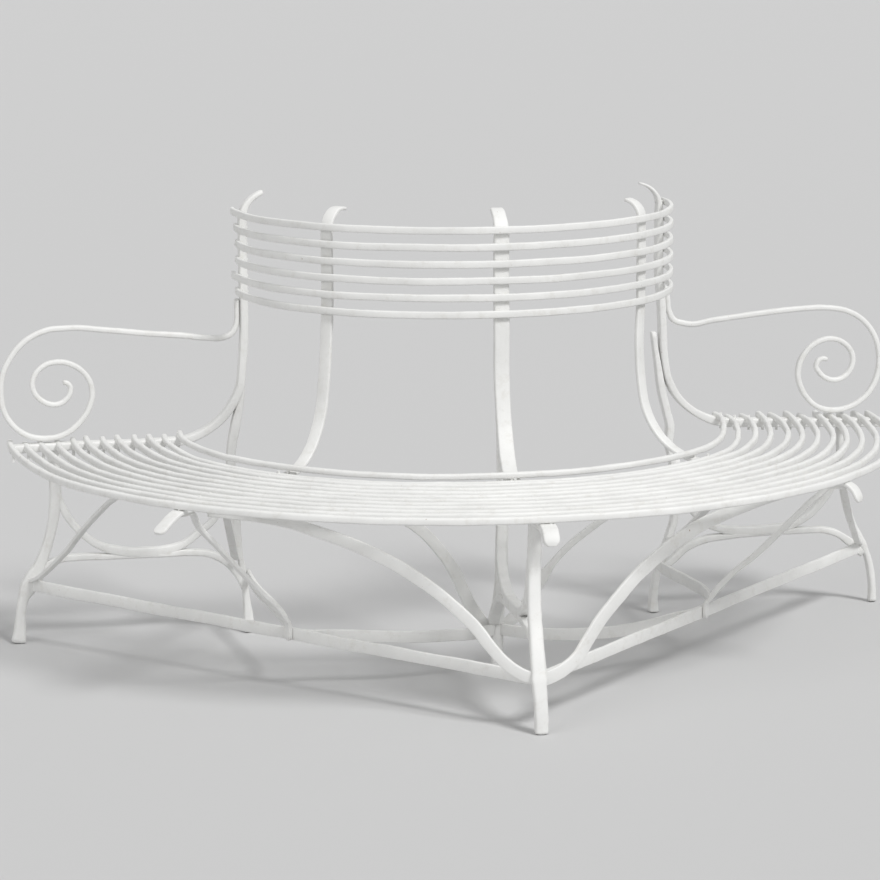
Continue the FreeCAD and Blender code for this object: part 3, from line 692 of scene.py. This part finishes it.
def make_strut(side):
    share = STRUT_SHARES[side]
    foot = tie_spot(side, share, STRAP - SINK)
    foot_z = tie_height(share)
    end = spot_at(STRUT_TOP_R, side * 45)
    reach = (end - foot).length
    top = bearer_top(STRUT_TOP_R) - STRAP * 1.5 + SINK
    points = [(0, foot_z - EDGE_HEIGHT / 2, 90), (0, foot_z + EDGE_HEIGHT / 2, 90)] + STRUT_LINES[side]
    points += [(reach + 6, top, -SLOPE_DEG), (reach + 30, top - 0.8, -SLOPE_DEG)]
    forged_bar("strut_bar_" + HANDS[side], "strut_" + HANDS[side], points, by_x(STRUT_SIZES[side]),
               from_to(foot, end), wander=1.2)


# Rear ties, seen from above: from the centre rear leg out to the front tie, and back to the end rear leg
REAR_TIE_Z = 92.0
REAR_TIE_LEAN_DEG = 1.4
BOWS = {
    -1: [(60, -508), (120, -524), (185, -534), (262, -534), (340, -527)],
    1: [(50, -517), (105, -555), (165, -577), (235, -582), (302, -562), (360, -532)]}
RETURNS = {
    -1: [(450, -480), (441, -425), (443, -327), (452, -232), (461, -143), (464, -60)],
    1: [(452, -475), (474, -415), (482, -340), (473, -262), (458, -170), (449, -90)]}


def make_rear_tie(side):
    share = STRUT_SHARES[side]
    start, end = tie_ends(side)
    corner = tie_spot(side, share, SINK - STRAP)
    way = (start - end).normalized() * (SLENDER[1] / 2)
    heading = math.degrees(math.atan2(way.y, side * way.x))
    corner_x, way_x = side * corner.x, side * way.x
    plan = [(6, -REAR_R - REAR_LEG[0] / 2)] + BOWS[side]
    plan += [(corner_x - way_x, corner.y - way.y, heading), (corner_x + way_x, corner.y + way.y, heading)]
    plan += RETURNS[side] + [(REAR_R + 1, 0)]
    rise = math.atan2(tie_height(share) - REAR_TIE_Z, corner_x)
    lean = math.radians(REAR_TIE_LEAN_DEG)

    def plan_place(p):
        # The bar is drawn flat with its width upright, then leaned two ways about the rear centre leg.
        x, y, z = p.x, p.z + REAR_R, p.y
        x, z = x * math.cos(rise) - z * math.sin(rise), x * math.sin(rise) + z * math.cos(rise)
        y, z = y * math.cos(lean) - z * math.sin(lean), y * math.sin(lean) + z * math.cos(lean)
        return side * x, y - REAR_R, z + REAR_TIE_Z

    forged_bar("back_tie_" + HANDS[side], "rear_stretcher_" + HANDS[side], plan, (STRAP, EDGE_HEIGHT),
               plan_place, wander=1.2)


# Arches from the rear legs to the 45 degree bearers
REAR_ARCH_R = 790.0
REAR_ARCHES = {
    -1: [(8, 84), (24, 97), (37, 113), (59, 146), (75, 179), (90, 211), (109, 243), (134, 277), (163, 310),
         (235, 357)],
    1: [(8, 90), (34, 114), (60, 142), (91, 196), (121, 237), (151, 268), (186, 297), (222, 324),
        (280, 361)]}
REAR_ARCH_SIZES = {
    -1: table([(0, ARCH_HEIGHT, STRAP), (170, 24.0, STRAP)]),
    1: table([(0, ARCH_HEIGHT, STRAP), (90, 25.0, STRAP), (118, 14.0, 13.0), (250, 14.0, 13.0)])}
REAR_END_ARCH_R = 860.0
REAR_END_ARCH_WIDTH = 17.0
REAR_END_ARCH = [(0, 166), (48, 180), (98, 207), (146, 238), (190, 266), (240, 298), (300, 334)]


def make_rear_arch(side):
    start = spot_at(REAR_R + 2, 0)
    end = spot_at(REAR_ARCH_R, side * 45)
    top = bearer_top(REAR_ARCH_R) - STRAP - ARCH_HEIGHT / 2 + SINK
    forged_bar("back_arch_" + HANDS[side], "rear_arch_" + HANDS[side],
               REAR_ARCHES[side] + [(370, top - 6), ((end - start).length, top, 0)],
               by_x(REAR_ARCH_SIZES[side]), from_to(start, end), wander=1.5)


def make_rear_end_arch(side):
    start = spot_at(REAR_R + REAR_LEG[1], side * 90)
    end = spot_at(REAR_END_ARCH_R, side * 45)
    top = bearer_top(REAR_END_ARCH_R) - STRAP * 1.5 + SINK
    reach = (end - start).length
    forged_bar("back_side_arch_" + HANDS[side], "rear_end_arch_" + HANDS[side],
               REAR_END_ARCH + [(370, top - 26), (450, top - 6), (reach - 60, top, 0), (reach, top, 0)],
               (STRAP, REAR_END_ARCH_WIDTH), from_to(start, end))


# Armrests, as (radius, height) from the post out and round the scroll to its eye
ARMS = {
    -1: [(478.2, 741, -90), (478.2, 710, -90), (482, 680), (493, 664), (511, 657), (545, 658), (598, 664),
         (653, 669), (750, 680), (845, 688), (893, 683.5), (937, 662), (969, 627), (987.5, 587), (991, 548),
         (985.5, 513), (965, 478.5), (936, 457), (898, 449.5), (857, 456.5), (826, 479), (803, 512),
         (795, 545), (806, 582), (833, 606), (864, 615), (895, 609.5), (917, 590), (923.5, 565),
         (915.5, 543), (897, 527.5), (877, 522), (853, 531), (841.5, 550), (844.5, 565.5), (858, 570)],
    1: [(480, 741, -90), (485, 712), (488, 686), (499, 665), (523, 656), (607, 663), (700, 672.5),
        (793, 680.5), (855, 681), (905, 671), (943, 648), (969, 612), (980, 570), (977, 527), (960, 489),
        (928, 461), (882, 447.5), (834, 458), (801, 493), (789, 537), (804, 578), (838, 605), (869, 610),
        (902, 595), (918, 566), (909, 533), (874, 515.5), (843, 530), (832, 552), (842, 565), (858, 562)]}
ARM_SIZE = table([(0, 11.0, 14.5), (90, 12.5, 15.5), (900, 12.0, 15.0), (1500, 10.5, 14.0),
                  (1900, 9.0, 12.5)])


def make_arm(side):
    forged_bar("armrest_" + HANDS[side], "arm_" + HANDS[side], ARMS[side], by_length(ARM_SIZE),
               in_frame(side * 90), corner=4.2, rough=0.6, step=7.0, blunt=(2.0, 5.0))


# Weathered white paint
PAINT_DARK = (0.76, 0.76, 0.745)
PAINT_LIGHT = (0.84, 0.84, 0.825)
GRIME = (0.60, 0.58, 0.53)
RUST = (0.34, 0.25, 0.17)
BLACK, WHITE = (0, 0, 0), (1, 1, 1)


def grey(level):
    return (level, level, level)


def weathered_paint():
    mat = bpy.data.materials.new("white_paint_weathered")
    mat.use_nodes = True
    nt = mat.node_tree
    nodes, links = nt.nodes, nt.links
    nodes.clear()
    out = nodes.new("ShaderNodeOutputMaterial")
    bsdf = nodes.new("ShaderNodeBsdfPrincipled")
    links.new(bsdf.outputs[0], out.inputs[0])
    coord = nodes.new("ShaderNodeTexCoord")
    here = coord.outputs["Object"]

    def noise_at(scale, detail=3.0, rough=0.55):
        n = nodes.new("ShaderNodeTexNoise")
        n.inputs["Scale"].default_value = scale
        n.inputs["Detail"].default_value = detail
        n.inputs["Roughness"].default_value = rough
        links.new(here, n.inputs["Vector"])
        return n.outputs["Fac"]

    def ramp(value, low, high):
        """Turns a value to a colour, from low to high, each a position and its colour."""
        r = nodes.new("ShaderNodeValToRGB")
        for element, (position, colour) in zip(r.color_ramp.elements, (low, high)):
            element.position = position
            element.color = (*colour, 1)
        links.new(value, r.inputs[0])
        return r.outputs[0]

    def mix(fac, under, colour):
        m = nodes.new("ShaderNodeMix")
        m.data_type = "RGBA"
        links.new(fac, m.inputs[0])
        links.new(under, m.inputs[6])
        m.inputs[7].default_value = (*colour, 1)
        return m.outputs[2]

    tone = ramp(noise_at(9.0), (0.3, PAINT_DARK), (0.7, PAINT_LIGHT))
    grime = ramp(noise_at(34.0, 5.0, 0.7), (0.53, BLACK), (0.74, grey(0.4)))
    specks = ramp(noise_at(120.0, 4.0, 0.65), (0.715, BLACK), (0.75, WHITE))
    links.new(mix(specks, mix(grime, tone, GRIME), RUST), bsdf.inputs["Base Color"])
    links.new(ramp(noise_at(60.0), (0.3, grey(0.5)), (0.7, grey(0.7))), bsdf.inputs["Roughness"])
    bump = nodes.new("ShaderNodeBump")
    bump.inputs["Strength"].default_value = 0.35
    bump.inputs["Distance"].default_value = 0.0008
    links.new(noise_at(190.0, 4.0), bump.inputs["Height"])
    links.new(bump.outputs[0], bsdf.inputs["Normal"])
    return mat


def paint_all(paint):
    """Paints the bars, and what stays of the model."""
    for piece in bpy.context.scene.objects:
        if piece.type == "MESH":
            if piece.material_slots:
                for slot in piece.material_slots:
                    slot.material = paint
            else:
                piece.data.materials.append(paint)


# Floor, in metres
FLOOR_HALF = 60
FLOOR_Z = -0.001
FLOOR_GREY = 0.60


def lay_floor():
    mesh = bpy.data.meshes.new("floor")
    corners = [(-FLOOR_HALF, -FLOOR_HALF, FLOOR_Z), (FLOOR_HALF, -FLOOR_HALF, FLOOR_Z),
               (FLOOR_HALF, FLOOR_HALF, FLOOR_Z), (-FLOOR_HALF, FLOOR_HALF, FLOOR_Z)]
    mesh.from_pydata(corners, [], [(0, 1, 2, 3)])
    floor = bpy.data.objects.new("floor", mesh)
    bpy.context.scene.collection.objects.link(floor)
    mat = bpy.data.materials.new("floor_pale")
    mat.use_nodes = True
    mat.node_tree.nodes["Principled BSDF"].inputs["Base Color"].default_value = (*grey(FLOOR_GREY), 1)
    mat.node_tree.nodes["Principled BSDF"].inputs["Roughness"].default_value = 1.0
    mesh.materials.append(mat)


# Camera: turn from the front, rise and roll in radians, its place about the tree's axis, and, in pixels of
# the square picture, the focal length, how far its aim is off the axis, and the picture's own shift
VIEW_TURN, VIEW_RISE, VIEW_ROLL = -0.1933, 0.1728, -0.0041
CAMERA_PLACE = (-1355.9, -6925.3, 1664.6)
FRAME_PX = 880.0
FOCAL_PX = 3239.75
AIM_LEFT_PX, AIM_DOWN_PX = 13.65, 12.445
SHIFT_PX = 3.0
SENSOR = 36.0
FAR = 200.0


def place_camera():
    data = bpy.data.cameras.new("camera")
    camera = bpy.data.objects.new("camera", data)
    bpy.context.scene.collection.objects.link(camera)
    bpy.context.scene.camera = camera
    level = math.cos(VIEW_RISE)
    to_camera = Vector((level * math.sin(VIEW_TURN), -level * math.cos(VIEW_TURN), math.sin(VIEW_RISE)))
    ahead = -to_camera
    right = ahead.cross(Vector((0, 0, 1))).normalized()
    up = right.cross(ahead)
    ahead = (ahead * FOCAL_PX - right * AIM_LEFT_PX - up * AIM_DOWN_PX).normalized()
    right = ahead.cross(up).normalized()
    up = right.cross(ahead)
    rolled_right = right * math.cos(VIEW_ROLL) + up * math.sin(VIEW_ROLL)
    rolled_up = up * math.cos(VIEW_ROLL) - right * math.sin(VIEW_ROLL)
    basis = Matrix((rolled_right, rolled_up, -ahead)).transposed().to_4x4()
    basis.translation = (Vector(CAMERA_PLACE) + Vector((0, AXIS_Y, 0))) * MM
    camera.matrix_world = basis
    data.sensor_width = SENSOR
    data.lens = FOCAL_PX * SENSOR / FRAME_PX
    data.shift_y = SHIFT_PX / FRAME_PX
    data.clip_end = FAR


# Light: an even studio, seen as plain white, and two soft lamps
STUDIO_LIGHT = 0.42
STUDIO_SEEN = 1.0


def light_studio():
    world = bpy.data.worlds.new("studio")
    bpy.context.scene.world = world
    world.use_nodes = True
    nodes, links = world.node_tree.nodes, world.node_tree.links
    nodes.clear()
    out = nodes.new("ShaderNodeOutputWorld")
    mix = nodes.new("ShaderNodeMixShader")
    for strength, socket in ((STUDIO_LIGHT, mix.inputs[1]), (STUDIO_SEEN, mix.inputs[2])):
        background = nodes.new("ShaderNodeBackground")
        background.inputs[0].default_value = (*WHITE, 1)
        background.inputs[1].default_value = strength
        links.new(background.outputs[0], socket)
    path = nodes.new("ShaderNodeLightPath")
    seen = path.outputs["Is Camera Ray"]
    for kind in ("Is Glossy Ray", "Is Transmission Ray"):
        either = nodes.new("ShaderNodeMath")
        either.operation = "MAXIMUM"
        links.new(seen, either.inputs[0])
        links.new(path.outputs[kind], either.inputs[1])
        seen = either.outputs[0]
    links.new(seen, mix.inputs[0])
    links.new(mix.outputs[0], out.inputs[0])


def hang_lamp(name, place, spread_deg, power):
    """A lamp that shines from a place to the middle of the floor."""
    data = bpy.data.lights.new(name, "SUN")
    data.angle = math.radians(spread_deg)
    data.energy = power
    lamp = bpy.data.objects.new(name, data)
    lamp.location = place
    lamp.rotation_euler = (-Vector(place)).to_track_quat("-Z", "Y").to_euler()
    bpy.context.scene.collection.objects.link(lamp)


for slat in range(SLAT_COUNT):
    make_slat(slat)
for rail in range(RAIL_COUNT):
    make_rail(rail)
for post in FRAMES:
    make_post(post)
for leg in ("left_end", "centre", "right_end"):
    make_front_leg(leg)
    make_rear_leg(leg)
    make_braces(leg)
for side in HANDS:
    make_front_tie(side)
    make_front_arch(side)
    make_end_arch(side)
    make_strut(side)
    make_rear_tie(side)
    make_rear_arch(side)
    make_rear_end_arch(side)
    make_arm(side)
paint_all(weathered_paint())
lay_floor()
place_camera()
light_studio()
hang_lamp("key", (2.0, -3.4, 4.4), spread_deg=14.0, power=2.0)
hang_lamp("fill", (-3.6, -3.0, 2.4), spread_deg=40.0, power=0.55)

view = bpy.context.scene.view_settings
view.view_transform = "Standard"
